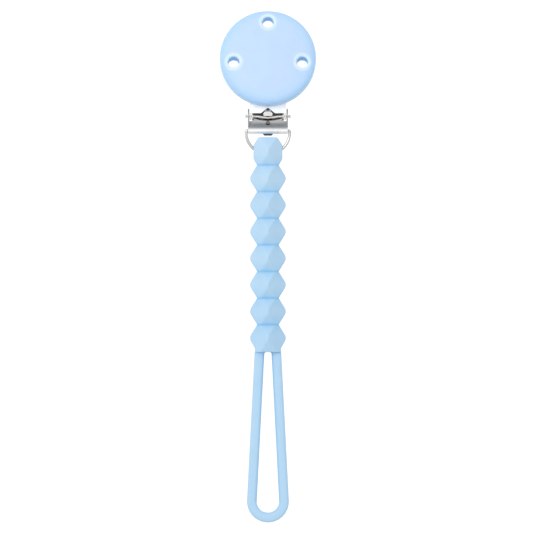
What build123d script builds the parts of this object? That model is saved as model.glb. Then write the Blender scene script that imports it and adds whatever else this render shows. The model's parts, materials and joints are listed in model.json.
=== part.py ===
"""Soother clip: a round silicone-faced garment clip, a wire D-ring and a one-piece silicone strap.

The clip bites a garment between a fixed steel plate and a swinging jaw. A cam lever below the
face locks the jaw, and its rolled lower edge carries the D-ring. The strap hangs from the ring:
eight faceted beads and a long loop that holds the soother.

Frame: millimetres, +Z up, -Y to the front. The origin is the middle of the bite, where the pad
of the jaw meets the back of the fixed plate. The clip leans back at its top, as it does on a
garment, and the ring and strap hang plumb.

The strap is one moulding. It is cut here at its necks, and along its loop, into lengths that
turn against each other, each held to the next by a ball in a socket.
"""

from build123d import *
from math import cos, radians, sin, sqrt
import os

# Driving dimensions --------------------------------------------------------------------------
clip_lean = 11.0  # degrees that the clip leans back at its top
steel = 0.6  # thickness of every stamped steel part

# Face
face_radius = 20.0
face_up = 23.3  # centre of the face above the pivot
face_height = 9.2  # at the crown
face_rim_height = 7.4  # at the outer edge, before rounding
face_front_round = 3.4
face_back_round = 1.5
face_gap = 0.15  # between the silicone and the parts it sits on
vent_radius = 2.3
vent_circle = 14.5
vent_angles = (90.0, 190.0, 350.0)
vent_lip = 0.5
core_neck_radius = 9.6
core_flange_radius = 10.8
core_step = 1.2
core_height = 3.2
rivet_ups = (15.2, 30.4)
rivet_radius = 0.9
rivet_head_radius = 1.5
rivet_head = 0.5

# Fixed plate and pin
plate_back = 2.0  # back of the plate, in front of the pivot
plate_front = plate_back + steel
plate_half_width = 7.55
plate_top = 32.4
plate_bottom = 0.85
flange_top = 12.5
notch_half_width = 3.0
notch_top = 3.1
pin_radius = 0.42
pin_bore = pin_radius + 0.06
pin_head_radius = 0.72
pin_head = 0.75
pin_half_length = 9.55
pin_bow = 0.6
pin_bow_half = 4.4
pin_bend = 3.0

# Jaw
jaw_half_width = 8.5
jaw_waist = 6.7
jaw_back = -3.1  # middle of the sheet behind the pivot
jaw_front = -0.35  # middle of the sheet behind the pad
jaw_foot = -2.2
jaw_head_up = 19.0  # centre of the rounded end
jaw_lobe = 1.6
tail_half_width = 2.1
tail_sheet = -1.45  # middle of the sheet of the tail
tail_tip = -7.9
hook_half_width = 2.0
hook_low = -0.3
hook_high = 2.7
hook_sheet = 2.35  # middle of the sheet of the hook's stem
hook_stem = 1.3
pad_half_width = 7.6
pad_low = 17.4
pad_clearance = 0.06
pad_grooves = 5
pad_groove_depth = 0.35
stake_ups = (19.6, 24.2)
stake_radius = 0.9
stake_head_radius = 1.4
stake_head = 0.5

# Lever
lever_half_width = 8.35
lever_lobe = 3.2
web_front = 0.0  # front of the web, level with the pivot
web_shoulder_half = 5.95
web_shoulder = -2.0
web_horn = -0.8
web_dip = -1.85
web_hole_radius = 1.0
web_hole_up = -2.9
barrel_half_width = 8.25
barrel_up = -6.18
barrel_front = 0.35
roll_radius = 1.0  # middle of the rolled sheet
roll_turn = 250.0
ear_foot = -4.4

# Ring
wire_radius = 0.62
ring_radius = 9.1  # centreline of the half round
ring_drop = 0.67  # from the straight bar to the centre of the half round
ring_corner = 0.7
ring_gap = 0.3  # between the wire's ends, inside the barrel

# Strap
bead_count = 8
bead_pitch = 11.07
bead_reach = 7.5  # from the strap's middle to a bead's upright edge
bead_edge = 1.2  # what is left of an upright edge between its two cut corners
bead_round = 0.4
neck_reach = 4.5
neck_gap = 0.75  # each bead stops this far short of the middle of a neck
neck_ball = 2.2
socket_gap = 0.06
eye_height = 4.0  # of the slot through the first bead
eye_width = 2.5
eye_drop = 8.5  # from the ring's straight bar
eye_to_top = 5.67
eye_to_neck = 5.9
first_bead_half_width = 6.05
first_bead_top = 3.9
loop_wire = 2.05  # half the side of the loop's rounded-square section
loop_round = 1.1
loop_end = 6.7
loop_splay = 2.94
loop_drop = 62.6
crotch_drop = 0.5
last_neck_reach = 5.45
arm_ball = 1.3
hinge_drops = (4.0, 24.0, 44.0)  # where the loop bends, below the foot of the last bead

# Directions and places ------------------------------------------------------------------------
up = Vector(0, sin(radians(clip_lean)), cos(radians(clip_lean)))
front = Vector(0, -cos(radians(clip_lean)), sin(radians(clip_lean)))
bite_up = 22.0
pivot = (up * bite_up + front * plate_back) * -1
bar = pivot + up * barrel_up + front * barrel_front
eye = bar - Vector(0, 0, eye_drop)
root = eye - Vector(0, 0, eye_to_neck + (bead_count - 1) * bead_pitch)


def facing(forward):
    """Face-on plane of the clip, forward of the pivot: x to the right, y up the clip."""
    return Plane(origin=pivot + front * forward, x_dir=(1, 0, 0), z_dir=front)


def sideways(right):
    """Side-on plane of the clip: x forward, y up the clip, extruding to the left."""
    return Plane(origin=pivot + Vector(right, 0, 0), x_dir=front, z_dir=(-1, 0, 0))


def across(point):
    """Plumb face-on plane through a point of the strap: x to the right, y up."""
    return Plane(origin=point, x_dir=(1, 0, 0), z_dir=(0, -1, 0))


def along(point):
    """Plumb side-on plane through a point of the strap: x forward, y up."""
    return Plane(origin=point, x_dir=(0, -1, 0), z_dir=(-1, 0, 0))


def level(point):
    """Level plane through a point of the strap: x to the right, y back."""
    return Plane(origin=point, x_dir=(1, 0, 0), z_dir=(0, 0, 1))


def arm_reach(drop):
    """How far each arm of the loop stands from the middle, a drop below the last bead."""
    return (loop_end - (loop_drop - drop) * sin(radians(loop_splay))) / cos(radians(loop_splay))


def arm_centres(drop):
    return [(side * arm_reach(drop), root.Y, root.Z - drop) for side in (-1, 1)]


def save(piece, name):
    piece.part.label = name
    export_step(piece.part, f"parts/{name}.step")


os.makedirs("parts", exist_ok=True)
face_axis = Axis(pivot + up * face_up, front)
face_side = Plane(origin=pivot + up * face_up + front * plate_front, x_dir=up, z_dir=(1, 0, 0))

# Face: silicone cover --------------------------------------------------------------------------
with BuildPart() as face_cover:
    with BuildSketch(face_side):
        with BuildLine():
            Polyline((0, face_height), (0, face_gap), (face_radius, face_gap), (face_radius, face_rim_height))
            TangentArc((0, face_height), (face_radius, face_rim_height), tangent=(1, 0))
        make_face()
    revolve(axis=face_axis)
    rims = face_cover.edges().filter_by(lambda edge: edge.length > 5 * face_radius).sort_by(face_axis)
    fillet(rims[-1], face_front_round)
    rims = face_cover.edges().filter_by(lambda edge: edge.length > 5 * face_radius).sort_by(face_axis)
    fillet(rims[0], face_back_round)
    with BuildSketch(facing(plate_front)):
        with Locations((0, face_up)):
            for angle in vent_angles:
                with Locations((vent_circle * cos(radians(angle)), vent_circle * sin(radians(angle)))):
                    Circle(vent_radius)
    extrude(amount=face_height + 1, mode=Mode.SUBTRACT)
    curves = face_cover.edges().filter_by(GeomType.LINE, reverse=True)
    fillet(curves.filter_by(lambda edge: 10 < edge.length < 20), vent_lip)
    with BuildSketch(face_side):
        with BuildLine():
            Polyline(
                (0, 0),
                (core_neck_radius + face_gap, 0),
                (core_neck_radius + face_gap, core_step - face_gap),
                (core_flange_radius + face_gap, core_step - face_gap),
                (core_flange_radius + face_gap, core_height + face_gap),
                (0, core_height + face_gap),
                close=True,
            )
        make_face()
    revolve(axis=face_axis, mode=Mode.SUBTRACT)
save(face_cover, "face_cover")

# Face: hard core inside the silicone, riveted to the plate ---------------------------------------
with BuildPart() as face_core:
    with BuildSketch(face_side):
        with BuildLine():
            Polyline(
                (0, 0),
                (core_neck_radius, 0),
                (core_neck_radius, core_step),
                (core_flange_radius, core_step),
                (core_flange_radius, core_height),
                (0, core_height),
                close=True,
            )
        make_face()
    revolve(axis=face_axis)
    with BuildSketch(facing(plate_front)):
        with Locations([(0, height) for height in rivet_ups]):
            Circle(rivet_radius)
    extrude(amount=core_height, mode=Mode.SUBTRACT)
    with BuildSketch(facing(plate_front + core_height)):
        with Locations([(0, height) for height in rivet_ups]):
            Circle(rivet_head_radius)
    extrude(amount=-rivet_head, mode=Mode.SUBTRACT)
save(face_core, "face_core")

with BuildPart() as face_rivets:
    with BuildSketch(facing(plate_back)):
        with Locations([(0, height) for height in rivet_ups]):
            Circle(rivet_radius)
    extrude(amount=steel + core_height)
    with BuildSketch(facing(plate_back), facing(plate_front + core_height)):
        with Locations([(0, height) for height in rivet_ups]):
            Circle(rivet_head_radius)
    extrude(amount=-rivet_head)
    fillet(face_rivets.edges().filter_by(GeomType.CIRCLE).group_by(face_axis)[0], rivet_head * 0.7)
save(face_rivets, "face_rivets")

# Fixed plate: side flanges carry the pin, a notch clears the jaw's hook ------------------------------
with BuildPart() as fixed_plate:
    with BuildSketch(facing(plate_back)):
        with Locations((0, (plate_bottom + plate_top - plate_half_width) / 2)):
            Rectangle(2 * plate_half_width, plate_top - plate_half_width - plate_bottom)
        with Locations((0, plate_top - plate_half_width)):
            Circle(plate_half_width)
        with BuildLine():
            Polyline((-notch_half_width, plate_bottom), (-notch_half_width, -1), (notch_half_width, -1))
            Line((notch_half_width, -1), (notch_half_width, plate_bottom))
            Spline(
                (notch_half_width, plate_bottom),
                (0, notch_top),
                (-notch_half_width, plate_bottom),
                tangents=((-1, 0.6), (-1, -0.6)),
            )
        make_face(mode=Mode.SUBTRACT)
        with Locations([(0, height) for height in rivet_ups]):
            Circle(rivet_radius, mode=Mode.SUBTRACT)
    extrude(amount=steel)
    with BuildSketch(sideways(plate_half_width)):
        with BuildLine():
            Polyline(
                (plate_front, flange_top),
                (plate_back, flange_top),
                (-1.0, 7.5),
                (-1.35, 0),
                (1.0, -0.9),
                (plate_front, plate_bottom),
                close=True,
            )
        make_face()
        fillet(vertices().group_by(Axis.X)[1], 2.0)
        Circle(1.35)
        Circle(pin_bore, mode=Mode.SUBTRACT)
    extrude(amount=steel)
    mirror(about=Plane.YZ)
save(fixed_plate, "fixed_plate")

with BuildPart() as pivot_pin:
    with BuildLine(facing(0)) as pin_line:
        FilletPolyline(
            (-pin_half_length + 0.3, 0),
            (-pin_bow_half, 0),
            (0, -pin_bow),
            (pin_bow_half, 0),
            (pin_half_length - 0.3, 0),
            radius=pin_bend,
        )
    with BuildSketch(Plane(origin=pin_line.line @ 0, x_dir=up, z_dir=pin_line.line % 0)):
        Circle(pin_radius)
    sweep()
    with BuildSketch(sideways(pin_half_length)):
        Circle(pin_head_radius)
    extrude(amount=pin_head)
    mirror(about=Plane.YZ)
    rounds = pivot_pin.edges().filter_by(GeomType.CIRCLE).group_by(Axis.X)
    fillet(rounds[0] + rounds[-1], 0.3)
save(pivot_pin, "pivot_pin")

# Jaw: one cranked sheet, ears on the pin, tail behind the lever ------------------------------------
with BuildPart() as jaw_plate:
    with BuildSketch(sideways(jaw_half_width)):
        with BuildLine():
            FilletPolyline(
                (tail_sheet, tail_tip),
                (tail_sheet, -4.9),
                (jaw_back, -2.6),
                (jaw_back, 5.0),
                (jaw_front, jaw_head_up - 2.2),
                (jaw_front, jaw_head_up + jaw_half_width),
                radius=1.0,
            )
        trace(line_width=steel)
    extrude(amount=2 * jaw_half_width)
    with BuildSketch(facing(-6)):
        with Locations((0, (jaw_foot + 8) / 2)):
            Rectangle(2 * jaw_waist, 8 - jaw_foot)
        with BuildLine():
            Polyline(
                (-jaw_half_width, jaw_head_up),
                (-jaw_half_width, 8.0),
                (-jaw_waist, 5.4),
                (jaw_waist, 5.4),
                (jaw_half_width, 8.0),
                (jaw_half_width, jaw_head_up),
                close=True,
            )
        make_face()
        with Locations((0, jaw_head_up)):
            Circle(jaw_half_width)
        with Locations((0, tail_tip / 2)):
            Rectangle(2 * tail_half_width, -tail_tip)
        fillet(vertices().group_by(Axis.Y)[0], 0.9)
        with Locations([(0, height) for height in stake_ups]):
            Circle(stake_radius + 0.05, mode=Mode.SUBTRACT)
    extrude(amount=8, mode=Mode.INTERSECT)
    with BuildSketch(sideways(jaw_waist)):
        with BuildLine():
            Polyline(
                (jaw_back, jaw_foot),
                (jaw_back, 5.8),
                (jaw_back + 0.8, 5.8),
                (1.0, 1.2),
                (1.0, -1.2),
                (-1.6, -1.9),
                close=True,
            )
        make_face()
        Circle(jaw_lobe)
        Circle(pin_bore, mode=Mode.SUBTRACT)
    extrude(amount=steel)
    mirror(about=Plane.YZ)
    with BuildSketch(sideways(hook_half_width)):
        with BuildLine():
            FilletPolyline(
                (jaw_back, hook_sheet),
                (1.2, hook_sheet),
                (2.35, 1.6),
                (2.0, hook_low),
                radius=0.6,
            )
        trace(line_width=steel)
    hook = extrude(amount=2 * hook_half_width, mode=Mode.PRIVATE)
    with BuildSketch(facing(-4)):
        with Locations((0, hook_sheet)):
            Rectangle(2 * hook_stem, 2 * steel)
    stem = extrude(amount=5.2, mode=Mode.PRIVATE)
    with BuildSketch(facing(1.1)):
        with BuildLine():
            Polyline((-hook_half_width, 0.6), (-hook_half_width + 0.5, -1), (hook_half_width - 0.5, -1))
            Line((hook_half_width - 0.5, -1), (hook_half_width, 0.6))
            Spline(
                (hook_half_width, 0.6),
                (0, hook_high),
                (-hook_half_width, 0.6),
                tangents=((-1, 1), (-1, -1)),
            )
        make_face()
    outline = extrude(amount=3, mode=Mode.PRIVATE)
    add(hook.intersect(stem + outline))
save(jaw_plate, "jaw_plate")

# Pad: plastic lining staked through the jaw, with cross grooves ------------------------------------
pad_back = jaw_front + steel / 2
pad_face = plate_back - pad_clearance

with BuildPart() as jaw_pad:
    with BuildSketch(facing(pad_back)):
        with Locations((0, jaw_head_up)):
            Circle(pad_half_width)
        with Locations((0, pad_low - pad_half_width)):
            Rectangle(2 * pad_half_width, 2 * pad_half_width, mode=Mode.SUBTRACT)
    extrude(amount=pad_face - pad_back)
    with BuildSketch(sideways(pad_half_width)):
        pad_high = jaw_head_up + pad_half_width
        step = (pad_high - pad_low) / (pad_grooves + 1)
        with Locations([(pad_face, pad_low + step * (i + 1)) for i in range(pad_grooves)]):
            Rectangle(pad_groove_depth * sqrt(2), pad_groove_depth * sqrt(2), rotation=45)
    extrude(amount=2 * pad_half_width, mode=Mode.SUBTRACT)
    with BuildSketch(facing(pad_back)):
        with Locations([(0, height) for height in stake_ups]):
            Circle(stake_radius)
    extrude(amount=-steel - stake_head)
    with BuildSketch(facing(pad_back - steel)):
        with Locations([(0, height) for height in stake_ups]):
            Circle(stake_head_radius)
    extrude(amount=-stake_head)
    fillet(jaw_pad.edges().filter_by(GeomType.CIRCLE).group_by(face_axis)[0], 0.3)
save(jaw_pad, "jaw_pad")

# Lever: side ears on the pin, a web below it, and a lower edge rolled round the ring's bar ------------
with BuildPart() as cam_lever:
    with BuildSketch(sideways(lever_half_width)):
        with BuildLine():
            Line((web_front - steel / 2, 0), (web_front - steel / 2, web_shoulder - 0.4))
            Spline(
                (web_front - steel / 2, web_shoulder - 0.4),
                (barrel_front + roll_radius, barrel_up),
                tangents=((0, -1), (0, -1)),
            )
            JernArc((barrel_front + roll_radius, barrel_up), (0, -1), roll_radius, -roll_turn)
        trace(line_width=steel)
    extrude(amount=2 * lever_half_width)
    with BuildSketch(facing(-4)):
        with BuildLine():
            Polyline(
                (web_shoulder_half, web_horn),
                (web_shoulder_half, web_shoulder),
                (lever_half_width, web_shoulder),
                (lever_half_width, ear_foot),
                (barrel_half_width, ear_foot),
                (barrel_half_width, 2 * barrel_up),
                (-barrel_half_width, 2 * barrel_up),
                (-barrel_half_width, ear_foot),
                (-lever_half_width, ear_foot),
                (-lever_half_width, web_shoulder),
                (-web_shoulder_half, web_shoulder),
                (-web_shoulder_half, web_horn),
            )
            ThreePointArc((-web_shoulder_half, web_horn), (0, web_dip), (web_shoulder_half, web_horn))
        make_face()
        with Locations((0, web_hole_up)):
            Circle(web_hole_radius, mode=Mode.SUBTRACT)
    extrude(amount=8, mode=Mode.INTERSECT)
    with BuildSketch(sideways(lever_half_width)):
        Circle(lever_lobe)
        with BuildLine():
            Polyline((-2.9, -1.3), (-0.6, ear_foot), (1.2, ear_foot), (2.9, -1.3), close=True)
        make_face()
        Circle(pin_bore, mode=Mode.SUBTRACT)
    extrude(amount=steel)
    mirror(about=Plane.YZ)
save(cam_lever, "cam_lever")

# Ring: wire bent to a D, its ends meeting inside the lever's barrel ---------------------------------
with BuildPart() as d_ring:
    with BuildLine(across(bar)) as ring_line:
        Line((ring_gap / 2, 0), (ring_radius - ring_corner, 0))
        JernArc((ring_radius - ring_corner, 0), (1, 0), ring_corner, -90)
        Line((ring_radius, -ring_corner), (ring_radius, -ring_drop))
        JernArc((ring_radius, -ring_drop), (0, -1), ring_radius, -180)
        Line((-ring_radius, -ring_drop), (-ring_radius, -ring_corner))
        JernArc((-ring_radius, -ring_corner), (0, 1), ring_corner, -90)
        Line((-ring_radius + ring_corner, 0), (-ring_gap / 2, 0))
    with BuildSketch(Plane(origin=ring_line.line @ 0, z_dir=ring_line.line % 0)):
        Circle(wire_radius)
    sweep()
save(d_ring, "d_ring")

# The whole loop, from which its lengths are cut ----------------------------------------------------
with BuildPart() as whole_loop:
    with BuildLine(across(root)) as loop_line:
        lean = radians(loop_splay)
        shoulder = (arm_reach(-1.0), 1.0)
        tangent_point = (loop_end * cos(lean), loop_end * sin(lean) - loop_drop)
        Line(shoulder, tangent_point)
        JernArc(tangent_point, (sin(lean), -cos(lean)), loop_end, -180 - 2 * loop_splay)
        Line((-tangent_point[0], tangent_point[1]), (-shoulder[0], shoulder[1]))
    with BuildSketch(Plane(origin=loop_line.line @ 0, x_dir=(0, 1, 0), z_dir=loop_line.line % 0)):
        RectangleRounded(2 * loop_wire, 2 * loop_wire, loop_round)
    sweep()

# Beads: cubes standing on end, turned edge-on, with all eight corners cut ----------------------------
for index in range(bead_count):
    is_first = index == 0
    is_last = index == bead_count - 1
    half = bead_pitch / 2
    centre = eye - Vector(0, 0, eye_to_neck + index * bead_pitch - half)
    top = eye_to_top + eye_to_neck - half if is_first else half
    top_reach = first_bead_top if is_first else neck_reach
    high = top if is_first else half - neck_gap
    low = half if is_last else half - neck_gap
    with BuildPart() as bead:
        with BuildSketch(level(centre - Vector(0, 0, low))):
            Rectangle(bead_reach * sqrt(2), bead_reach * sqrt(2), rotation=45)
        extrude(amount=low + high)
        for plane in (across(centre), along(centre)):
            foot_reach = last_neck_reach if is_last and plane.x_dir.X > 0.5 else neck_reach
            with BuildSketch(plane):
                with BuildLine():
                    Polyline(
                        (-foot_reach, -half),
                        (foot_reach, -half),
                        (bead_reach, -bead_edge / 2),
                        (bead_reach, bead_edge / 2),
                        (top_reach, top),
                        (-top_reach, top),
                        (-bead_reach, bead_edge / 2),
                        (-bead_reach, -bead_edge / 2),
                        close=True,
                    )
                make_face()
            extrude(amount=bead_reach, both=True, mode=Mode.INTERSECT)
        if is_first:
            with BuildSketch(across(centre)):
                Rectangle(2 * first_bead_half_width, 4 * half)
            extrude(amount=bead_reach, both=True, mode=Mode.INTERSECT)
        fillet(bead.edges(), bead_round)
        if is_first:
            with BuildSketch(along(eye)):
                SlotOverall(eye_height, eye_width, rotation=90)
            extrude(amount=bead_reach, both=True, mode=Mode.SUBTRACT)
        else:
            with Locations(centre + Vector(0, 0, half)):
                Sphere(neck_ball + socket_gap, mode=Mode.SUBTRACT)
        if is_last:
            with BuildSketch(along(root)):
                with Locations((0, -crotch_drop / 2 + 0.5)):
                    Rectangle(2 * loop_wire, crotch_drop + 1.0)
            extrude(amount=arm_reach(0), both=True)
            with BuildSketch(level(root + Vector(0, 0, 1.0))):
                Rectangle(4 * loop_end, 2 * loop_end)
            stub = extrude(amount=-1.0 - hinge_drops[0] + neck_gap, mode=Mode.PRIVATE)
            add(whole_loop.part.intersect(stub))
            with Locations(*arm_centres(hinge_drops[0])):
                Sphere(arm_ball)
        else:
            with Locations(centre - Vector(0, 0, half)):
                Sphere(neck_ball)
    save(bead, f"bead_{index + 1}")

# Loop: two pairs of arms and the round end --------------------------------------------------------
loop_names = ("loop_upper", "loop_middle", "loop_lower")
for index, name in enumerate(loop_names):
    start = hinge_drops[index]
    is_end = index == len(loop_names) - 1
    stop = 2 * loop_drop if is_end else hinge_drops[index + 1]
    with BuildPart() as length:
        add(whole_loop.part)
        with BuildSketch(level(root - Vector(0, 0, start + neck_gap))):
            Rectangle(4 * loop_end, 2 * loop_end)
        extrude(amount=-(stop - start - 2 * neck_gap), mode=Mode.INTERSECT)
        with Locations(*arm_centres(start)):
            Sphere(arm_ball + socket_gap, mode=Mode.SUBTRACT)
        if not is_end:
            with Locations(*arm_centres(stop)):
                Sphere(arm_ball)
    save(length, name)
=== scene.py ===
"""Soother clip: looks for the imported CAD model, in metres, in the row's own frame."""

import json
from math import asin, ceil, cos, pi, radians, sin, sqrt

import bmesh
import bpy
import numpy as np
from mathutils import Matrix, Vector
from mathutils.geometry import delaunay_2d_cdt


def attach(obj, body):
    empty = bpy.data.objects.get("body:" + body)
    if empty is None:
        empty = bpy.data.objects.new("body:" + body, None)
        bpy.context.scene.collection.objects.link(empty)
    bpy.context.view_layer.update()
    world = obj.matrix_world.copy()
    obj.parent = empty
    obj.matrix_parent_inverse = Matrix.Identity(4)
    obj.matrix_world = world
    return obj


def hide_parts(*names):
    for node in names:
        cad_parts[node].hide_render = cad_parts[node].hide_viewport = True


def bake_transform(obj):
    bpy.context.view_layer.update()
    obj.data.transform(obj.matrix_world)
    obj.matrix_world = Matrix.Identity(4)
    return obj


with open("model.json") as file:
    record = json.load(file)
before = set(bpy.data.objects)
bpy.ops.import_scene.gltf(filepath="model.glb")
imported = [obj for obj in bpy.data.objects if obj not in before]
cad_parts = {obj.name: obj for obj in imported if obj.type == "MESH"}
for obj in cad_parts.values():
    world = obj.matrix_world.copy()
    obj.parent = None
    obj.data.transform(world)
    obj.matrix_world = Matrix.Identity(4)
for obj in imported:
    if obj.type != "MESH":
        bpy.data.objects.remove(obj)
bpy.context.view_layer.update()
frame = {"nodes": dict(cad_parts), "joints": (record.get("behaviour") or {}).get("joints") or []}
MM = 0.001

# Places, read from the frame ----------------------------------------------------------------------
hinge = {joint["name"]: Vector(joint["pos_m"]) for joint in frame["joints"]}
pivot = hinge["lever_swing"]
eye = hinge["strap_swing"]
necks = [hinge[f"neck_{number}_bend"] for number in range(1, 8)]
pitch = (necks[0].z - necks[1].z) / MM
root = necks[-1] - Vector((0, 0, pitch * MM))

# The clip's own axes: x to the right, y up the clip, z out of its front
clip_lean = radians(11.0)
clip_frame = Matrix.Translation(pivot) @ Matrix(
    (
        (1, 0, 0, 0),
        (0, sin(clip_lean), -cos(clip_lean), 0),
        (0, cos(clip_lean), sin(clip_lean), 0),
        (0, 0, 0, 1),
    )
)

# Camera: a long lens, level with the middle of the strap ------------------------------------------
view_distance = 1.6
view_height = 0.2221
view_aside = -0.6 * MM
view_below_pivot = 62.6 * MM
camera_data = bpy.data.cameras.new("camera")
camera_data.sensor_width = 36.0
camera_data.lens = camera_data.sensor_width * view_distance / view_height
camera_data.clip_start = 0.05
camera_data.clip_end = 30.0
camera = bpy.data.objects.new("camera", camera_data)
bpy.context.scene.collection.objects.link(camera)
camera.location = (view_aside, eye.y - view_distance, pivot.z - view_below_pivot)
camera.rotation_euler = (radians(90), 0, 0)
bpy.context.scene.camera = camera


# Materials ----------------------------------------------------------------------------------------
class Shader:
    """A Principled material being made, with short ways to add and join its nodes."""

    def __init__(self, name, **sockets):
        self.material = bpy.data.materials.new(name)
        self.material.use_nodes = True
        self.tree = self.material.node_tree
        self.bsdf = self.tree.nodes["Principled BSDF"]
        for socket, value in sockets.items():
            self.bsdf.inputs[socket.replace("_", " ")].default_value = value

    def node(self, kind, **values):
        made = self.tree.nodes.new(kind)
        for key, value in values.items():
            socket = key.replace("_", " ")
            if socket in made.inputs:
                made.inputs[socket].default_value = value
            else:
                setattr(made, key, value)
        return made

    def join(self, source, target):
        self.tree.links.new(source, target)

    def drive(self, socket, source):
        """Joins another node's output to one of the shader's own sockets."""
        self.join(source, self.bsdf.inputs[socket])

    def noise(self, scale, detail=3.0, stretch=(1, 1, 1)):
        """Noise in object space, its scale in features per millimetre."""
        coordinates = self.node("ShaderNodeTexCoord")
        mapping = self.node("ShaderNodeMapping", Scale=[factor / MM for factor in stretch])
        made = self.node("ShaderNodeTexNoise", Scale=scale, Detail=detail, Roughness=0.55)
        self.join(coordinates.outputs["Object"], mapping.inputs["Vector"])
        self.join(mapping.outputs["Vector"], made.inputs["Vector"])
        return made.outputs["Fac"]

    def spread(self, factor, low, high, bottom=0.3, top=0.7):
        """The factor, remapped so that bottom to top becomes low to high."""
        limits = {"From_Min": bottom, "From_Max": top, "To_Min": low, "To_Max": high}
        made = self.node("ShaderNodeMapRange", **limits)
        self.join(factor, made.inputs["Value"])
        return made.outputs["Result"]

    def tint(self, factor, first, second):
        """A colour mixed between two, each a colour or another node's output."""
        made = self.node("ShaderNodeMix", data_type="RGBA")
        self.join(factor, made.inputs["Factor"])
        for socket, colour in zip((made.inputs[6], made.inputs[7]), (first, second)):
            if isinstance(colour, bpy.types.NodeSocket):
                self.join(colour, socket)
            else:
                socket.default_value = (*colour, 1)
        return made.outputs[2]

    def distance(self, direction, origin):
        """How far a point lies along a direction from an origin, in millimetres."""
        coordinates = self.node("ShaderNodeTexCoord")
        along = self.node("ShaderNodeVectorMath", operation="DOT_PRODUCT")
        along.inputs[1].default_value = direction / MM
        shifted = self.node("ShaderNodeMath", operation="SUBTRACT")
        shifted.inputs[1].default_value = direction.dot(origin) / MM
        self.join(coordinates.outputs["Object"], along.inputs[0])
        self.join(along.outputs["Value"], shifted.inputs[0])
        return shifted.outputs["Value"]

    def faces_toward(self, direction):
        """1 on surfaces that face a direction squarely, 0 on those turned away from it."""
        coordinates = self.node("ShaderNodeTexCoord")
        along = self.node("ShaderNodeVectorMath", operation="DOT_PRODUCT")
        along.inputs[1].default_value = direction
        self.join(coordinates.outputs["Normal"], along.inputs[0])
        return self.spread(along.outputs["Value"], 0, 1, bottom=0.86, top=0.95)

    def multiply(self, first, second):
        made = self.node("ShaderNodeMath", operation="MULTIPLY")
        self.join(first, made.inputs[0])
        self.join(second, made.inputs[1])
        return made.outputs["Value"]

    def attribute(self, name):
        return self.node("ShaderNodeAttribute", attribute_name=name).outputs["Fac"]

    def bumps(self, *layers, normal=None):
        """Bumps one on another, each a height, its depth in millimetres and its strength."""
        for height, depth, strength in layers:
            bump = self.node("ShaderNodeBump", Distance=depth * MM, Strength=strength)
            self.join(height, bump.inputs["Height"])
            if normal is not None:
                self.join(normal, bump.inputs["Normal"])
            normal = bump.outputs["Normal"]
        self.drive("Normal", normal)


def display(red, green, blue):
    """A linear colour from the values a screen would show, 0 to 255."""
    return tuple(
        value / 12.92 if value <= 0.04045 else ((value + 0.055) / 1.055) ** 2.4
        for value in (red / 255, green / 255, blue / 255)
    )


def silicone(name, light, cloudy, painted_shade_and_deepening, depth, rim=(0.5, 0.6, 0.9), painted_lip_highlight=(0.9, 0.95, 1.0)):
    """Satin silicone: a cloudy tint, painted shade in its hollows and creases, and a fine matt
    skin.

    Three attributes of the mesh, each 0 to 1, say where painted shade lies in a hollow (with the
    darkening towards the strap's lower end), where painted shade lies near its rim, and where a
    painted highlight lies on a lip.
    """
    shader = Shader(
        name,
        IOR=1.41,
        Specular_IOR_Level=0.4,
        Subsurface_Weight=depth,
        Subsurface_Radius=(0.5, 0.8, 1.0),
        Subsurface_Scale=0.8 * MM,
        Sheen_Weight=0.06,
        Sheen_Roughness=0.4,
    )
    clouds = shader.tint(shader.spread(shader.noise(0.15, 2.0), 0, 1), light, cloudy)
    # Painted shade near the rim.
    with_painted_rim_shade = shader.tint(shader.attribute("rim"), clouds, rim)
    # A painted highlight on the vent lips.
    with_painted_lip_highlight = shader.tint(shader.attribute("painted_lip_highlight"), with_painted_rim_shade, painted_lip_highlight)
    # Painted shade in hollows and creases, with the darkening towards the strap's lower end.
    colour = shader.tint(shader.attribute("painted_shade_and_deepening"), with_painted_lip_highlight, painted_shade_and_deepening)
    shader.drive("Base Color", colour)
    shader.drive("Roughness", shader.spread(shader.noise(0.4, 4.0), 0.40, 0.54))
    shader.bumps((shader.noise(0.9, 1.0), 0.04, 0.12), (shader.noise(7.0, 2.0), 0.012, 0.3))
    return shader.material


def plated_steel(
    name, shade, grain, finish=(0.10, 0.22), metallic=1.0, painted_recess_mask=None, painted_recess_shade=None, glow=0.0
):
    """Bright plating: rolled grain along one direction, faint smears, hairlines and rounded edges.

    Where the mask function given is 1, the plating takes the darker colour given with it, as
    painted shade on recessed surfaces. The glow stands for the bright room that plating would
    reflect.
    """
    shader = Shader(
        name, Metallic=metallic, Emission_Color=(1.0, 0.99, 0.97, 1.0), Emission_Strength=glow
    )
    darker = tuple(0.84 * part for part in shade)
    clouds = shader.tint(shader.spread(shader.noise(0.5), 0, 1), shade, darker)
    # Painted shade: the darker colour where the mask is 1.
    if painted_recess_mask is not None:
        clouds = shader.tint(painted_recess_mask(shader), clouds, painted_recess_shade)
    shader.drive("Base Color", clouds)
    shader.drive("Roughness", shader.spread(shader.noise(0.9, 5.0), *finish))
    edge = shader.node("ShaderNodeBevel", samples=4, Radius=0.07 * MM)
    rolled = shader.noise(3.0, 4.0, stretch=grain)
    hairlines = shader.noise(9.0, 1.0, stretch=(0.05, 1.0, 1.0))
    shader.bumps((rolled, 0.012, 0.2), (hairlines, 0.005, 0.15), normal=edge.outputs["Normal"])
    return shader.material


def moulded_plastic(name, light, deep):
    """Pale moulded plastic with a spark-eroded skin."""
    shader = Shader(name, IOR=1.46, Subsurface_Weight=0.1, Subsurface_Scale=0.8 * MM)
    clouds = shader.tint(shader.spread(shader.noise(0.3), 0, 1), light, deep)
    shader.drive("Base Color", clouds)
    shader.drive("Roughness", shader.spread(shader.noise(1.5), 0.42, 0.6))
    shader.bumps((shader.noise(5.0), 0.02, 0.4))
    return shader.material


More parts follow.
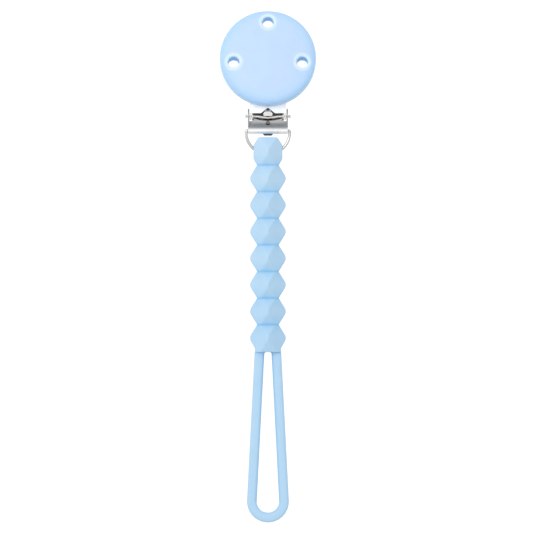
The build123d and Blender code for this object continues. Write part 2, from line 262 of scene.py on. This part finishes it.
clip_up = Vector((0, sin(clip_lean), cos(clip_lean)))
clip_front = Vector((0, -cos(clip_lean), sin(clip_lean)))


def jaw_painted_recess_shade(shader):
    """Painted shade on the jaw's inner side, all but its hook and ears."""
    recessed = shader.spread(shader.distance(clip_front, pivot), 1, 0, bottom=0.0, top=0.4)
    return shader.multiply(recessed, shader.faces_toward(clip_front))


def lever_web_painted_shade(shader):
    """Painted shade on the lever's web, between its ears' tops and the barrel."""
    return shader.spread(shader.distance(clip_up, pivot), 0, 1, bottom=-6.2, top=-5.0)


face_blue = silicone(
    "face_silicone",
    display(197, 220, 250),
    display(192, 217, 248),
    # Painted shade colour for the vent walls.
    display(163, 216, 252),
    0.3,
    # Painted rim shade colour.
    rim=display(178, 216, 255),
    # Painted highlight colour for the vent lips.
    painted_lip_highlight=display(226, 242, 255),
)
strap_blue = silicone(
    "strap_silicone",
    display(189, 219, 241),
    display(184, 215, 239),
    # Painted shade colour for the creases and hollows, also used for the darkening towards the
    # lower end.
    display(126, 189, 233),
    0.0,
)
bright = (0.80, 0.78, 0.76)
along_x = (0.06, 1.0, 1.0)
plate_metal = plated_steel(
    "plated_plate", (0.97, 0.96, 0.95), along_x, finish=(0.3, 0.42), metallic=0.15, glow=0.13
)
# The jaw's recessed inner side gets painted shade.
jaw_metal = plated_steel("plated_jaw", bright, along_x, painted_recess_mask=jaw_painted_recess_shade, painted_recess_shade=(0.22, 0.22, 0.22))
# The lever's web gets painted shade.
lever_metal = plated_steel(
    "plated_lever",
    (0.95, 0.94, 0.93),
    along_x,
    finish=(0.25, 0.38),
    metallic=0.5,
    painted_recess_mask=lever_web_painted_shade,
    painted_recess_shade=(0.40, 0.395, 0.39),
)
pin_metal = plated_steel(
    "plated_pin", (0.92, 0.91, 0.90), along_x, finish=(0.25, 0.35), metallic=0.3
)
wire_metal = plated_steel("plated_wire", (0.64, 0.63, 0.62), (0.1, 1.0, 1.0), finish=(0.12, 0.22))
rivet_metal = plated_steel("rivet_steel", (0.62, 0.61, 0.60), (1.0, 1.0, 1.0), finish=(0.2, 0.35))
pad_plastic = moulded_plastic("pad_plastic", display(238, 240, 242), display(226, 229, 232))
core_plastic = moulded_plastic("core_plastic", display(228, 232, 236), display(214, 219, 225))

cad_looks = {
    "fixed_plate": plate_metal,
    "jaw_plate": jaw_metal,
    "cam_lever": lever_metal,
    "pivot_pin": pin_metal,
    "d_ring": wire_metal,
    "face_rivets": rivet_metal,
    "jaw_pad": pad_plastic,
    "face_core": core_plastic,
}
for node_name, look in cad_looks.items():
    frame["nodes"][node_name].data.materials.clear()
    frame["nodes"][node_name].data.materials.append(look)


# Mesh helpers -------------------------------------------------------------------------------------
weld = 0.0005 * MM
sharp_angle = radians(40)


def finish_mesh(mesh):
    """Outward faces, smooth but for the sharp edges."""
    shape = bmesh.new()
    shape.from_mesh(mesh)
    bmesh.ops.remove_doubles(shape, verts=shape.verts, dist=weld)
    bmesh.ops.recalc_face_normals(shape, faces=shape.faces)
    shape.to_mesh(mesh)
    shape.free()
    mesh.shade_smooth()
    mesh.set_sharp_from_angle(angle=sharp_angle)


def make_object(name, points, faces, material):
    mesh = bpy.data.meshes.new(name)
    mesh.from_pydata([tuple(point) for point in points], [], faces)
    mesh.materials.append(material)
    finish_mesh(mesh)
    made = bpy.data.objects.new(name, mesh)
    bpy.context.scene.collection.objects.link(made)
    return made


def bridge(first, second, around):
    """Quads between two rings of points, given the number of each ring's first point."""
    quads = []
    for step in range(around):
        after = (step + 1) % around
        quads.append((first + step, first + after, second + after, second + step))
    return quads


def stack(rings, closed=True):
    """Points and faces of a tube through rings of equal length, its ends capped."""
    around = len(rings[0])
    points = [point for ring in rings for point in ring]
    faces = []
    for number in range(len(rings) - 1):
        faces += bridge(number * around, (number + 1) * around, around)
    if closed:
        last = len(points) - around
        faces.append(tuple(range(around)))
        faces.append(tuple(range(last + around - 1, last - 1, -1)))
    return points, faces


def combine(target, tool, operation):
    """The target joined with or cut by the tool, which is then gone."""
    modifier = target.modifiers.new("combine", "BOOLEAN")
    modifier.operation = operation
    modifier.solver = "EXACT"
    modifier.object = tool
    graph = bpy.context.evaluated_depsgraph_get()
    result = bpy.data.meshes.new_from_object(target.evaluated_get(graph))
    target.modifiers.clear()
    target.data = result
    bpy.data.objects.remove(tool)
    finish_mesh(target.data)


def clamp(value):
    return min(1.0, max(0.0, value))


def mark(target, name, amount):
    """Writes an amount, 0 to 1, at each point of the mesh for its material to read."""
    attribute = target.data.attributes.new(name, "FLOAT", "POINT")
    attribute.data.foreach_set("value", [amount(vertex.co) for vertex in target.data.vertices])


# Face: a low silicone dome with three vent holes --------------------------------------------------
face_radius = 20.0
face_height = 9.2
face_side_height = 7.4
front_round = 3.4
back_round = 1.5
face_back = 0.15
vent_circle = 14.5
vent_radius = 2.3
vent_angles = (90.0, 190.0, 350.0)
front_lip = 0.9
back_lip = 1.1
core_neck = 9.75
core_flange = 10.95
core_step = 1.05
core_top = 3.35
face_up = 23.3
face_forward = 2.6
face_centre = Matrix.Translation((0, face_up * MM, face_forward * MM))
face_place = clip_frame @ face_centre @ Matrix.Scale(MM, 4)
crown = face_height - face_side_height
dome_radius = (face_radius**2 + crown**2) / (2 * crown)
round_centre = face_radius - front_round
round_height = face_height - dome_radius + sqrt((dome_radius - front_round) ** 2 - round_centre**2)
dome_reach = round_centre * dome_radius / (dome_radius - front_round)
vents = [
    Vector((vent_circle * cos(radians(angle)), vent_circle * sin(radians(angle))))
    for angle in vent_angles
]


def face_surface(radius):
    """Height of the face's front at a distance from its middle."""
    if radius < dome_reach:
        return face_height - dome_radius + sqrt(dome_radius**2 - radius**2)
    return round_height + sqrt(max(0.0, front_round**2 - (radius - round_centre) ** 2))


def ring_points(centre, radius, height, around):
    """A ring of points about an upright axis; height is a number, or a function of the point."""
    ring = []
    for step in range(around):
        x = centre[0] + radius * cos(2 * pi * step / around)
        y = centre[1] + radius * sin(2 * pi * step / around)
        ring.append((x, y, height(x, y) if callable(height) else height))
    return ring


class Sheet:
    """Points and faces gathered piece by piece, in millimetres on the face's own axes."""

    def __init__(self):
        self.points = []
        self.faces = []

    def add(self, rings):
        """An open tube through the rings."""
        points, faces = stack(rings, closed=False)
        start = len(self.points)
        self.points += points
        self.faces += [tuple(start + number for number in face) for face in faces]

    def fill(self, outer, inners, spacing, height):
        """A fine skin between an outer ring and the rings of holes inside it."""
        flat = []
        edges = []
        for ring in (outer, *inners):
            first = len(flat)
            flat += [Vector(point[:2]) for point in ring]
            edges += [(first + step, first + (step + 1) % len(ring)) for step in range(len(ring))]
        reach = outer_reach(outer)
        holes = [(hole_centre(ring), outer_reach(ring, hole_centre(ring))) for ring in inners]
        margin = 0.45 * spacing
        for level in range(1, int(reach / spacing) + 1):
            radius = level * spacing
            count = 6 * level
            for step in range(count):
                angle = 2 * pi * (step + 0.5 * (level % 2)) / count
                spot = Vector((radius * cos(angle), radius * sin(angle)))
                clear = all((spot - centre).length > size + margin for centre, size in holes)
                if clear and radius < reach - margin:
                    flat.append(spot)
        if all(centre.length > 1 or size < 1 for centre, size in holes):
            flat.append(Vector((0, 0)))
        spots, _, faces, _, _, _ = delaunay_2d_cdt(flat, edges, [], 0, 1e-6)
        start = len(self.points)
        for number, spot in enumerate(spots):
            self.points.append((spot.x, spot.y, height(spot.x, spot.y)))
        for face in faces:
            middle = sum((spots[number] for number in face), Vector((0, 0))) / 3
            if all((middle - centre).length > size * 0.9995 for centre, size in holes):
                self.faces.append(tuple(start + number for number in face))


def hole_centre(ring):
    across = sum(point[0] for point in ring)
    upright = sum(point[1] for point in ring)
    return Vector((across, upright)) / len(ring)


def outer_reach(ring, centre=Vector((0, 0))):
    return (Vector(ring[0][:2]) - centre).length


def flat_height(x, y):
    return face_back


def dome_height(x, y):
    return face_surface(sqrt(x * x + y * y))


rim_steps = 256
vent_steps = 96
lip_steps = 10
front_turn_steps = 16
side_steps = 5
back_turn_steps = 12
wall_steps = 9
back_lip_steps = 6
front_spacing = 0.7
back_spacing = 1.2
skin_edge = 18.0
sheet = Sheet()

# The skin of the front, then the rim rolling over to the back
collars = [ring_points(vent, vent_radius + front_lip, 0, vent_steps) for vent in vents]
sheet.fill(ring_points((0, 0), skin_edge, 0, rim_steps), collars, front_spacing, dome_height)
rim = []
start = asin((skin_edge - round_centre) / front_round)
for step in range(front_turn_steps + 1):
    angle = start + (pi / 2 - start) * step / front_turn_steps
    rim.append((round_centre + front_round * sin(angle), round_height + front_round * cos(angle)))
for step in range(1, side_steps):
    fall = (face_back + back_round - round_height) * step / side_steps
    rim.append((face_radius, round_height + fall))
for step in range(back_turn_steps + 1):
    angle = pi / 2 * step / back_turn_steps
    radius = face_radius - back_round + back_round * cos(angle)
    rim.append((radius, face_back + back_round - back_round * sin(angle)))
sheet.add([ring_points((0, 0), radius, height, rim_steps) for radius, height in rim])

# Vent holes, with a soft lip at the front and a smaller one at the back
for vent in vents:
    rings = []
    for step in range(lip_steps + 1):
        angle = pi / 2 * step / lip_steps
        drop = front_lip * (1 - cos(angle))
        radius = vent_radius + front_lip * (1 - sin(angle))
        rings.append(ring_points(vent, radius, lambda x, y: dome_height(x, y) - drop, vent_steps))
    for step in range(1, wall_steps):
        share = step / wall_steps

        def wall(x, y):
            top = dome_height(x, y) - front_lip
            return top + (face_back + back_lip - top) * share

        rings.append(ring_points(vent, vent_radius, wall, vent_steps))
    for step in range(back_lip_steps + 1):
        angle = pi / 2 * step / back_lip_steps
        radius = vent_radius + back_lip * (1 - cos(angle))
        height = face_back + back_lip * (1 - sin(angle))
        rings.append(ring_points(vent, radius, height, vent_steps))
    sheet.add(rings)

# The back, and the pocket for the core
back_collars = [ring_points(vent, vent_radius + back_lip, 0, vent_steps) for vent in vents]
pocket_mouth = ring_points((0, 0), core_neck, face_back, vent_steps)
back_edge = ring_points((0, 0), face_radius - back_round, 0, rim_steps)
sheet.fill(back_edge, [*back_collars, pocket_mouth], back_spacing, flat_height)
pocket = [(core_neck, face_back), (core_neck, core_step)]
pocket += [(core_flange, core_step), (core_flange, core_top)]
pocket += [(core_flange * share, core_top) for share in (0.8, 0.6, 0.4, 0.2, 0.05)]
sheet.add([ring_points((0, 0), radius, height, vent_steps) for radius, height in pocket])
sheet.faces.append(tuple(range(len(sheet.points) - vent_steps, len(sheet.points))))

shell_points = [face_place @ Vector(point) for point in sheet.points]
face_shell = make_object("face_shell", shell_points, sheet.faces, face_blue)
face_inverse = face_place.inverted()
vent_shade_start = 0.35
vent_shade_fade = 1.4
rim_start = 14.5
rim_fade = 5.5
rim_power = 1.6
halo_reach = 1.9
halo_fade = 1.2
halo_strength = 0.8
# The painted highlight round a vent is on the front only.
halo_floor = 3  # the tint round a vent is on the front only


def nearest_vent(local):
    """Distance, face-on, from the middle of the nearest vent hole."""
    return min((Vector((local.x, local.y)) - vent).length for vent in vents)


def vent_painted_shade(point):
    """Painted shade in a vent: 0 on the skin, rising to 1 down the wall of a vent hole."""
    local = face_inverse @ point
    if nearest_vent(local) > vent_radius + front_lip:
        return 0.0
    depth = dome_height(local.x, local.y) - local.z
    return clamp((depth - vent_shade_start) / vent_shade_fade)


def rim_painted_shade(point):
    """Painted shade near the rim: 0 over the middle of the face, rising to 1 at its outer edge."""
    local = face_inverse @ point
    return clamp((Vector((local.x, local.y)).length - rim_start) / rim_fade) ** rim_power


def painted_lip_highlight_share(point):
    """A painted highlight: 1 on the front lip of a vent hole, fading over the skin round it."""
    local = face_inverse @ point
    share = clamp((vent_radius + halo_reach - nearest_vent(local)) / halo_fade)
    return halo_strength * share * (local.z > halo_floor)


# Painted shade down the vent walls.
mark(face_shell, "painted_shade_and_deepening", vent_painted_shade)
# Painted shade near the face's rim.
mark(face_shell, "rim", rim_painted_shade)
# A painted highlight on the front lips of the vents.
mark(face_shell, "painted_lip_highlight", painted_lip_highlight_share)
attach(face_shell, "clip_body")
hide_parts("face_cover")

# Strap: one moulding, in lengths that meet at the waists of the beads -----------------------------
bead_reach = 7.6
bead_edge = 0.6
neck_reach = 4.5
edge_softness = 0.15
crease_softness = 0.07
half = pitch / 2
quadrant_corner = 8
quadrant_side = 18
min_corner = radians(3)
first_half = 6.05
first_top = 6.035
first_top_half = 3.9
foot_half = 5.45
foot_softness = 0.05
foot_overlap = 0.4
shoulder_height = -4.3
foot_drop = 0.3
search_reach = (0.2, 9.0)
search_steps = 36
foot_deepening = 0.18
crease_amount, crease_reach = 0.6, 1.1
shade_amount, shade_reach = 0.25, 4.5


def slanted(reach_1, height_1, reach_2, height_2):
    """Outward normal (across, upright) and distance of a face through two profile points."""
    along, rise = reach_2 - reach_1, height_2 - height_1
    normal = np.array((abs(rise), -along * np.sign(rise))) / np.hypot(along, rise)
    return normal[0], normal[1], normal @ (reach_1, height_1)


def bead_planes(is_first=False, is_last=False):
    """A bead's faces as (nx, ny, nz, distance), about its middle."""
    up = slanted(bead_reach, bead_edge, neck_reach, half)
    down = slanted(bead_reach, -bead_edge, neck_reach, -half)
    up_x = up_y = up
    down_x = down
    if is_first:
        up_x = up_y = slanted(bead_reach, bead_edge, first_top_half, first_top)
    if is_last:
        down_x = slanted(bead_reach, -bead_edge, foot_half, shoulder_height)
    planes = []
    for side in (-1, 1):
        for other in (-1, 1):
            planes.append((side * sqrt(0.5), other * sqrt(0.5), 0, bead_reach * sqrt(0.5)))
        for across, upright, distance in (up_x, down_x):
            planes.append((side * across, 0, upright, distance))
        for across, upright, distance in (up_y, down):
            planes.append((0, side * across, upright, distance))
        if is_first:
            planes.append((side, 0, 0, first_half))
    if is_first:
        planes.append((0, 0, 1, first_top))
    if is_last:
        planes.append((0, 0, -1, half + foot_drop))
    return np.array(planes)


def foot_planes():
    """The upright foot of the last bead, from its shoulder down to the arms of the loop."""
    down = slanted(bead_reach, -bead_edge, neck_reach, -half)
    planes = [(0, 0, -1, half + foot_drop), (0, 0, 1, shoulder_height + foot_overlap)]
    for side in (-1, 1):
        planes.append((side, 0, 0, foot_half))
        planes.append((0, side * down[0], down[1], down[2]))
        for other in (-1, 1):
            planes.append((side * sqrt(0.5), other * sqrt(0.5), 0, bead_reach * sqrt(0.5)))
    return np.array(planes)


plain_bead = (bead_planes(), edge_softness)
first_bead = (bead_planes(is_first=True), edge_softness)
last_bead = (bead_planes(is_last=True), edge_softness)
foot_block = (foot_planes(), foot_softness)


def soft_max(values, softness):
    """The highest of the values, eased where two are nearly equal."""
    highest = values.max(axis=0)
    return highest + softness * np.log(np.exp((values - highest) / softness).sum(axis=0))


def inside(solid, points):
    """Signed distance from a solid's rounded surface, negative inside."""
    planes, softness = solid
    return soft_max(planes[:, :3] @ points - planes[:, 3:], softness)


def ease(count):
    """Shares from 0 towards 1, closer together at both ends."""
    return (1 - np.cos(pi * np.arange(count) / count)) / 2


def ring_angles(height):
    """Directions round a bead that fall on its edges: height is from the bead's middle."""
    slope = (bead_reach - neck_reach) * max(0.0, abs(height) - bead_edge) / (half - bead_edge)
    reach = bead_reach - slope
    corner = max(min_corner, np.arctan2(bead_reach - reach, reach))
    parts = (
        (0, corner, quadrant_corner),
        (corner, pi / 2 - corner, quadrant_side),
        (pi / 2 - corner, pi / 2, quadrant_corner),
    )
    quarter = np.concatenate([low + (high - low) * ease(count) for low, high, count in parts])
    return np.concatenate([quarter + turn * pi / 2 for turn in range(4)])


def strap_ring(height, beads):
    """A ring of the strap's skin; beads is a list of (solid, height of the bead's middle)."""
    nearest = min((height - middle for _, middle in beads), key=abs)
    angles = ring_angles(nearest)
    low = np.full(angles.shape, search_reach[0])
    high = np.full(angles.shape, search_reach[1])
    for _ in range(search_steps):
        radius = (low + high) / 2
        solids = []
        for solid, middle in beads:
            level = np.full(angles.shape, height - middle)
            points = np.array((radius * np.cos(angles), radius * np.sin(angles), level))
            solids.append(-inside(solid, points))
        outside = -soft_max(np.array(solids), crease_softness) > 0
        high = np.where(outside, radius, high)
        low = np.where(outside, low, radius)
    radius = (low + high) / 2
    return [Vector((r * cos(a), r * sin(a), height)) for r, a in zip(radius, angles)]


def half_levels():
    """Distances from a bead's middle to its neck, closer at the waist and the crease."""
    waist = np.arange(0, 1.5, 0.1)
    slope = np.arange(1.5, 4.5, 0.3)
    crease = np.linspace(4.5, half, 15)
    return np.concatenate((waist, slope, crease))


def strap_place(middle_height):
    """Strap axes in millimetres about a bead's middle, in the row's frame."""
    return Matrix.Translation((0, eye.y, middle_height)) @ Matrix.Scale(MM, 4)


def bead_middle(number):
    """Height of a bead's middle: beads are counted from 1."""
    return necks[0].z + (0.5 - (number - 1)) * pitch * MM


def strap_deepening(height):
    """The strap's colour is a little deeper towards its lower end."""
    return foot_deepening * clamp((eye.z - height) / (eye.z - root.z))


def crease_shade_and_deepening(middle_height):
    """Painted shade by how deep in a neck a point lies, for the length whose first bead has this
    middle, plus the darkening towards the strap's lower end.
    """

    def amount(point):
        drop = (middle_height - point.z) / MM
        gap = abs(drop - half)
        crease = crease_amount * max(0.0, 1 - gap / crease_reach) ** 2
        shade = shade_amount * max(0.0, 1 - gap / shade_reach)
        return crease + shade + strap_deepening(point.z)

    return amount


def strap_length(name, levels, beads, number):
    """A length of the strap through the beads, its levels counted from one bead's middle."""
    place = strap_place(bead_middle(number))
    rings = [[place @ point for point in strap_ring(level, beads)] for level in levels]
    return make_object(name, *stack(rings), strap_blue)


def join_length(piece, nodes):
    """Bakes the length's placing into its mesh; it stands for these CAD nodes, which are hidden."""
    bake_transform(piece)
    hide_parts(*nodes)


down_levels = [-level for level in half_levels()]
link_levels = down_levels + [-pitch - level for level in reversed(down_levels[:-1])]
top_gaps = (0.003, 0.015, 0.035, 0.065, 0.105, 0.155, 0.215, 0.295, 0.395, 0.515)
top_edge = [first_top - gap for gap in top_gaps]
top_levels = top_edge + list(np.arange(5.25, 1.5, -0.3)) + list(np.arange(1.5, 0, -0.1))

# The first bead, with the eye across it for the ring
first_pair = [(first_bead, 0), (plain_bead, -pitch)]
strap_top = strap_length("strap_top", top_levels + link_levels, first_pair, 1)
eye_radius = 1.25
eye_straight = 0.75
eye_steps = 64
cutter_reach = 9
eye_rings = []
for side in (-cutter_reach, cutter_reach):
    spots = []
    for step in range(eye_steps):
        angle = 2 * pi * (step + 0.5) / eye_steps
        end = eye_straight if angle < pi else -eye_straight
        spots.append((side, eye_radius * cos(angle), end + eye_radius * sin(angle)))
    eye_rings.append([eye + Vector(spot) * MM for spot in spots])
combine(strap_top, make_object("eye_cutter", *stack(eye_rings), strap_blue), "DIFFERENCE")
# Painted shade in the necks.
mark(strap_top, "painted_shade_and_deepening", crease_shade_and_deepening(bead_middle(1)))
join_length(strap_top, ["bead_1"])

# Six links from waist to waist
for number in range(2, 8):
    beads = [(plain_bead, 0), (last_bead if number == 7 else plain_bead, -pitch)]
    link = strap_length(f"strap_link_{number}", link_levels, beads, number)
    # Painted shade in the necks.
    mark(link, "painted_shade_and_deepening", crease_shade_and_deepening(bead_middle(number)))
    join_length(link, [f"bead_{number}"])

# Loop ---------------------------------------------------------------------------------------------
arm_half = 2.05
arm_squareness = 3.0
arm_steps = 48
loop_end = 6.7
loop_drop = 62.6
loop_splay = radians(2.94)
gap_top = 0.42
gap_round = 0.85
ring_spacing = 0.4
split_1 = 14.0
split_2 = 34.0
inner_amount, inner_reach = 0.45, 0.9
under_amount, under_reach = 0.5, 0.7


def arm_at(drop):
    """Middle of the right arm, (across, drop), on the loop's own plane."""
    across = (loop_end - (loop_drop - drop) * sin(loop_splay)) / cos(loop_splay)
    return Vector((across, drop))


def arm_ring(spot, heading):
    """A rounded-square ring about a spot of the loop, square to its heading."""
    out = Vector((heading.y, -heading.x)).normalized()
    ring = []
    for step in range(arm_steps):
        angle = 2 * pi * step / arm_steps
        power = abs(cos(angle)) ** arm_squareness + abs(sin(angle)) ** arm_squareness
        shape = power ** (-1 / arm_squareness)
        reach = arm_half * shape * cos(angle)
        depth = arm_half * shape * sin(angle)
        ring.append(root + Vector((spot.x + out.x * reach, depth, -(spot.y + out.y * reach))) * MM)
    return ring


def straight(first, second):
    """Spots from one point towards another, the last left out, with the heading."""
    count = max(1, ceil((second - first).length / ring_spacing))
    heading = (second - first).normalized()
    return [(first + (second - first) * step / count, heading) for step in range(count)]


def arc(centre, radius, first, last):
    """Spots along an arc, angles from +x towards increasing drop."""
    count = max(4, ceil(abs(last - first) * radius / ring_spacing * 1.5))
    turn = 1 if last > first else -1
    spots = []
    for step in range(count + 1):
        angle = first + (last - first) * step / count
        outward = Vector((cos(angle), sin(angle)))
        spots.append((centre + outward * radius, Vector((-outward.y, outward.x)) * turn))
    return spots


def flip(spots):
    """The same run mirrored to the other arm, its direction reversed."""
    return [
        (Vector((-spot.x, spot.y)), Vector((heading.x, -heading.y)))
        for spot, heading in reversed(spots)
    ]


def tube(spots):
    """The rings of a bar along the spots."""
    return [arm_ring(spot, heading) for spot, heading in spots]


# The last bead's foot, with the top of both arms and the arch between them
foot_gaps = (0.3, 0.25, 0.2, 0.15, 0.11, 0.07, 0.03, 0.008)
foot_levels = down_levels[:-1] + [-half - foot_drop + gap for gap in foot_gaps]
strap_foot = strap_length("strap_foot", foot_levels, [(last_bead, 0), (foot_block, 0)], 8)
corner = gap_round + arm_half
arch_line = gap_top - arm_half
corner_drop = arch_line + corner
corner_centre = Vector((arm_at(corner_drop).x - corner / cos(loop_splay), corner_drop))
joint = corner_centre + Vector((cos(loop_splay), -sin(loop_splay))) * corner
right_top = straight(arm_at(split_1), joint) + arc(corner_centre, corner, -loop_splay, -pi / 2)
arch = right_top + flip(right_top)
combine(strap_foot, make_object("arch_tube", *stack(tube(arch)), strap_blue), "UNION")


def foot_shade_and_deepening(point):
    """Painted shade in the arch and just under the foot's step, plus the darkening towards the
    lower end.
    """
    drop = (root.z - point.z) / MM
    across = abs(point.x) / MM
    inner = max(0.0, 1 - abs(across - arm_at(max(0.0, drop)).x + arm_half) / inner_reach)
    under = max(0.0, 1 - abs(drop - foot_drop) / under_reach)
    depth = inner_amount * inner * (0.0 < drop) + under_amount * under * (drop > foot_drop - 0.05)
    return min(1.0, depth + strap_deepening(point.z))


# Painted shade in the arch and under the foot's step.
mark(strap_foot, "painted_shade_and_deepening", foot_shade_and_deepening)
join_length(strap_foot, ["bead_8", "loop_upper"])


def arm_shade_and_deepening(point):
    """A little painted shade along the inner side of both arms, plus the darkening towards the
    lower end.
    """
    drop = (root.z - point.z) / MM
    inner = arm_at(drop).x - arm_half
    painted_shade_and_deepening = 0.0
    if drop < loop_drop:
        painted_shade_and_deepening = inner_amount * max(0.0, 1 - abs(abs(point.x) / MM - inner) / inner_reach)
    return painted_shade_and_deepening + strap_deepening(point.z)


# Both arms, then the round end
right_arm = straight(arm_at(split_1), arm_at(split_2))
right_arm += straight(arm_at(split_2), arm_at(split_2 + 1))[:1]
points, faces = stack(tube(right_arm))
shift = len(points)
left_points, left_faces = stack(tube(flip(right_arm)))
both = [tuple(shift + number for number in face) for face in left_faces]
strap_arms = make_object("strap_arms", points + left_points, faces + both, strap_blue)
# Painted shade along the arms' inner sides.
mark(strap_arms, "painted_shade_and_deepening", arm_shade_and_deepening)
join_length(strap_arms, ["loop_middle"])

end_centre = Vector((0, loop_drop))
end_start = end_centre + Vector((cos(loop_splay), -sin(loop_splay))) * loop_end
right_end = straight(arm_at(split_2), end_start)
right_end += arc(end_centre, loop_end, -loop_splay, pi / 2)[:-1]
bottom = [(end_centre + Vector((0, loop_end)), Vector((-1, 0)))]
end_rings = tube(right_end + bottom + flip(right_end))
strap_end = make_object("strap_end", *stack(end_rings), strap_blue)
# Painted shade along the arms' inner sides.
mark(strap_end, "painted_shade_and_deepening", arm_shade_and_deepening)
join_length(strap_end, ["loop_lower"])

# Studio -------------------------------------------------------------------------------------------
bpy.context.scene.view_settings.view_transform = "Standard"
world = bpy.data.worlds.new("studio")
bpy.context.scene.world = world
world.use_nodes = True
sky = world.node_tree.nodes["Background"]
sky.inputs["Color"].default_value = (0.85, 0.86, 0.88, 1)
sky.inputs["Strength"].default_value = 1.0

# A round cove: pale floor curving up into a wall on every side
cove_radius = 3.0
cove_floor = -0.36
cove_round = 1.0
cove_top = 1.3
cove_middle = 0.02
cove_around = 96
floor_steps = 6
turn_steps = 12
floor_reach = cove_radius - cove_round - cove_middle
cove_profile = []
for step in range(floor_steps + 1):
    cove_profile.append((cove_middle + floor_reach * step / floor_steps, cove_floor))
for step in range(1, turn_steps + 1):
    angle = pi / 2 * step / turn_steps
    radius = cove_radius - cove_round + cove_round * sin(angle)
    cove_profile.append((radius, cove_floor + cove_round * (1 - cos(angle))))
cove_profile.append((cove_radius, cove_top))
cove_rings = [ring_points((0, 0), radius, height, cove_around) for radius, height in cove_profile]
cove_points, cove_faces = stack(cove_rings, closed=False)
cove_faces.append(tuple(range(cove_around)))
backdrop = Shader("backdrop", Roughness=0.9)
backdrop.bsdf.inputs["Base Color"].default_value = (0.12, 0.12, 0.12, 1)
backdrop.bsdf.inputs["Emission Color"].default_value = (1, 1, 1, 1)
spot = backdrop.node("ShaderNodeTexCoord")
distance = backdrop.node("ShaderNodeVectorMath", operation="LENGTH")
backdrop.join(spot.outputs["Object"], distance.inputs["Vector"])
glow = backdrop.spread(distance.outputs["Value"], 0.62, 0.96, bottom=0.9, top=1.9)
backdrop.drive("Emission Strength", glow)
cove = make_object("cove", cove_points, cove_faces, backdrop.material)


def softbox(name, place, aim, size, power):
    """A rectangular soft light that faces its aim."""
    light = bpy.data.lights.new(name, "AREA")
    light.shape = "RECTANGLE"
    light.size, light.size_y = size
    light.energy = power
    lamp = bpy.data.objects.new(name, light)
    bpy.context.scene.collection.objects.link(lamp)
    lamp.location = place
    lamp.rotation_euler = (Vector(aim) - Vector(place)).to_track_quat("-Z", "Y").to_euler()


middle = (0, eye.y, -0.06)
softbox("key", (-0.55, -1.5, 0.5), middle, (0.7, 0.7), 5)


def flag(name, centre, size, turn):
    """A dark, faintly blue card beside the object, unseen by the camera itself."""
    width, height = size[0] / 2, size[1] / 2
    corners = [(-width, 0, -height), (width, 0, -height), (width, 0, height), (-width, 0, height)]
    place = Matrix.Translation(centre) @ Matrix.Rotation(radians(turn), 4, "Z")
    placed = [place @ Vector(corner) for corner in corners]
    card = make_object(name, placed, [(0, 1, 2, 3)], card_look.material)
    card.visible_camera = False


card_look = Shader("card", Roughness=0.95, Emission_Strength=1.0)
card_look.bsdf.inputs["Base Color"].default_value = (0.01, 0.01, 0.01, 1)
card_look.bsdf.inputs["Emission Color"].default_value = (0.20, 0.38, 0.50, 1)
flag("flag_right", (0.6, -0.05, 0.0), (0.25, 0.9), 80)
flag("flag_left_back", (-0.45, 0.35, 0.0), (0.2, 0.9), -45)
